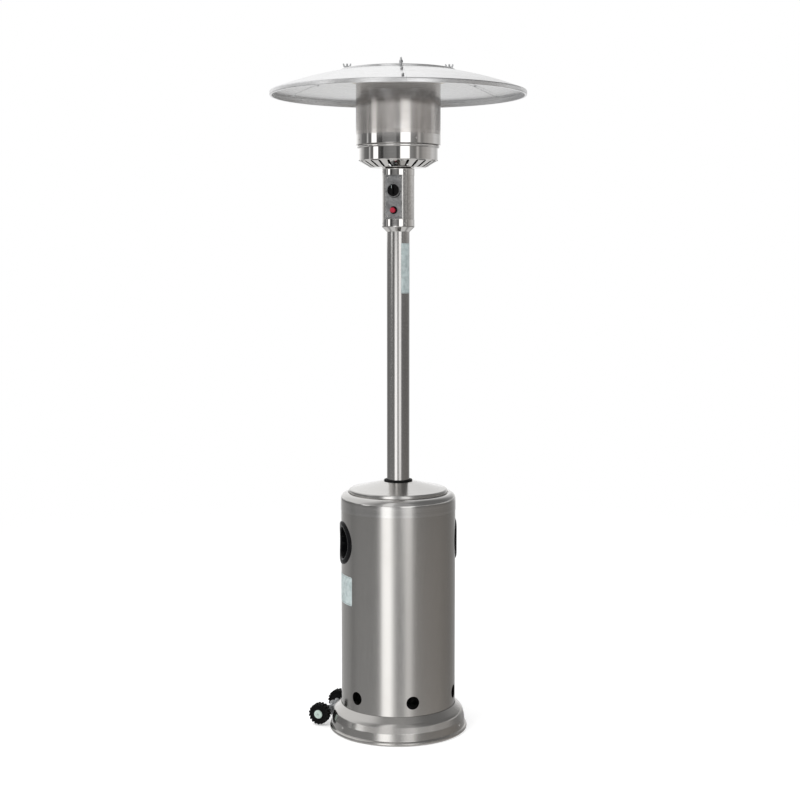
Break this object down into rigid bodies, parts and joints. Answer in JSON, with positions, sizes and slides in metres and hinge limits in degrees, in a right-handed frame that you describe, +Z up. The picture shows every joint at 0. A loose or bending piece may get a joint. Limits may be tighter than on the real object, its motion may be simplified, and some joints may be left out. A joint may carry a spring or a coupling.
{
  "type": "outdoor heater",
  "caption": "Free-standing gas patio heater: sliding cylinder housing on a flared wheeled base, slim post, control head, emitter screen and a wide shallow domed reflector.",
  "frame": {"origin": "on the floor, on the post's axis", "axes": "+Z up along the post, -Y towards the control panel, -X towards the transport wheels"},
  "size_m": [0.8399, 0.8399, 2.2022],
  "materials": {
    "brushed_stainless": "brushed satin",
    "polished_stainless": "polished",
    "reflector_aluminium": "satin",
    "zinc_steel": "zinc plated",
    "painted_steel": "powder coated",
    "panel_grey": "satin",
    "black_plastic": "moulded, lightly textured",
    "wheel_black": "moulded tread",
    "hub_pale": "moulded",
    "label_pale": "printed film, left blank",
    "red_plastic": "moulded",
    "black_rubber": "moulded",
    "brass": "turned",
    "burner_steel": "heat tinted"
  },
  "bodies": {
    "stand": {"base_plate": "painted_steel", "base_skirt": "brushed_stainless", "rubber_feet": "black_rubber", "support_leg_left": "zinc_steel", "support_leg_right": "zinc_steel", "support_leg_rear": "zinc_steel", "frame_bolts": "zinc_steel", "sheet_screws": "polished_stainless", "post_flange": "zinc_steel", "post_tube": "brushed_stainless", "post_label": "label_pale", "gas_pipe": "zinc_steel", "gas_inlet_fitting": "brass", "wheel_bracket": "zinc_steel", "axle": "zinc_steel", "axle_retainers": "zinc_steel", "head_collar": "polished_stainless", "head_mount": "zinc_steel", "control_casing": "brushed_stainless", "control_panel": "panel_grey", "top_collar": "polished_stainless", "gas_valve": "brass", "tilt_switch": "zinc_steel", "igniter_body": "black_plastic", "igniter_bezel": "black_plastic", "gas_jet": "brass", "mixing_tube": "burner_steel", "burner_bowl": "polished_stainless", "lower_band": "polished_stainless", "band_bead": "polished_stainless", "upper_band": "polished_stainless", "burner_cup": "burner_steel", "pilot_burner": "burner_steel", "pilot_tube": "burner_steel", "thermocouple": "burner_steel", "ignition_electrode": "burner_steel", "emitter_screen": "brushed_stainless", "emitter_top_plate": "burner_steel", "reflector_studs": "zinc_steel", "stud_nuts": "zinc_steel", "wing_nuts": "zinc_steel", "reflector_panel_1": "reflector_aluminium", "reflector_panel_2": "reflector_aluminium", "reflector_panel_3": "reflector_aluminium", "reflector_disc": "reflector_aluminium", "seam_screws": "zinc_steel"},
    "housing": {"housing_shell": "brushed_stainless", "housing_cap": "brushed_stainless", "post_grommet": "black_rubber", "grip_left": "black_plastic", "grip_right": "black_plastic", "housing_label": "label_pale"},
    "knob_washer": {"stem_washer": "zinc_steel"},
    "knob": {"control_knob": "black_plastic", "valve_stem": "zinc_steel"},
    "igniter_push_button": {"igniter_button": "red_plastic"},
    "front_wheel": {"wheel_front": "wheel_black", "hub_cap_front": "hub_pale"},
    "rear_wheel": {"wheel_rear": "wheel_black", "hub_cap_rear": "hub_pale"}
  },
  "joints": [
    {"name": "housing_lift", "type": "slide", "parent": "stand", "child": "housing", "axis": [0, 0, 1], "range_m": [0, 0.78]},
    {"name": "knob_push", "type": "slide", "parent": "stand", "child": "knob_washer", "axis": [0, 1, 0], "range_m": [0, 0.0035], "stiffness_N_per_m": 1500, "springref_m": -0.004},
    {"name": "knob_turn", "type": "hinge", "parent": "knob_washer", "child": "knob", "pos_m": [0, -0.055, 1.79], "axis": [0, -1, 0], "range_deg": [0, 180]},
    {"name": "igniter_push", "type": "slide", "parent": "stand", "child": "igniter_push_button", "axis": [0, 1, 0], "range_m": [0, 0.006], "stiffness_N_per_m": 1200, "springref_m": -0.003},
    {"name": "wheel_front_spin", "type": "hinge", "parent": "stand", "child": "front_wheel", "pos_m": [-0.25, -0.085, 0.039], "axis": [0, 1, 0], "continuous": true},
    {"name": "wheel_rear_spin", "type": "hinge", "parent": "stand", "child": "rear_wheel", "pos_m": [-0.25, 0.085, 0.039], "axis": [0, 1, 0], "continuous": true}
  ]
}
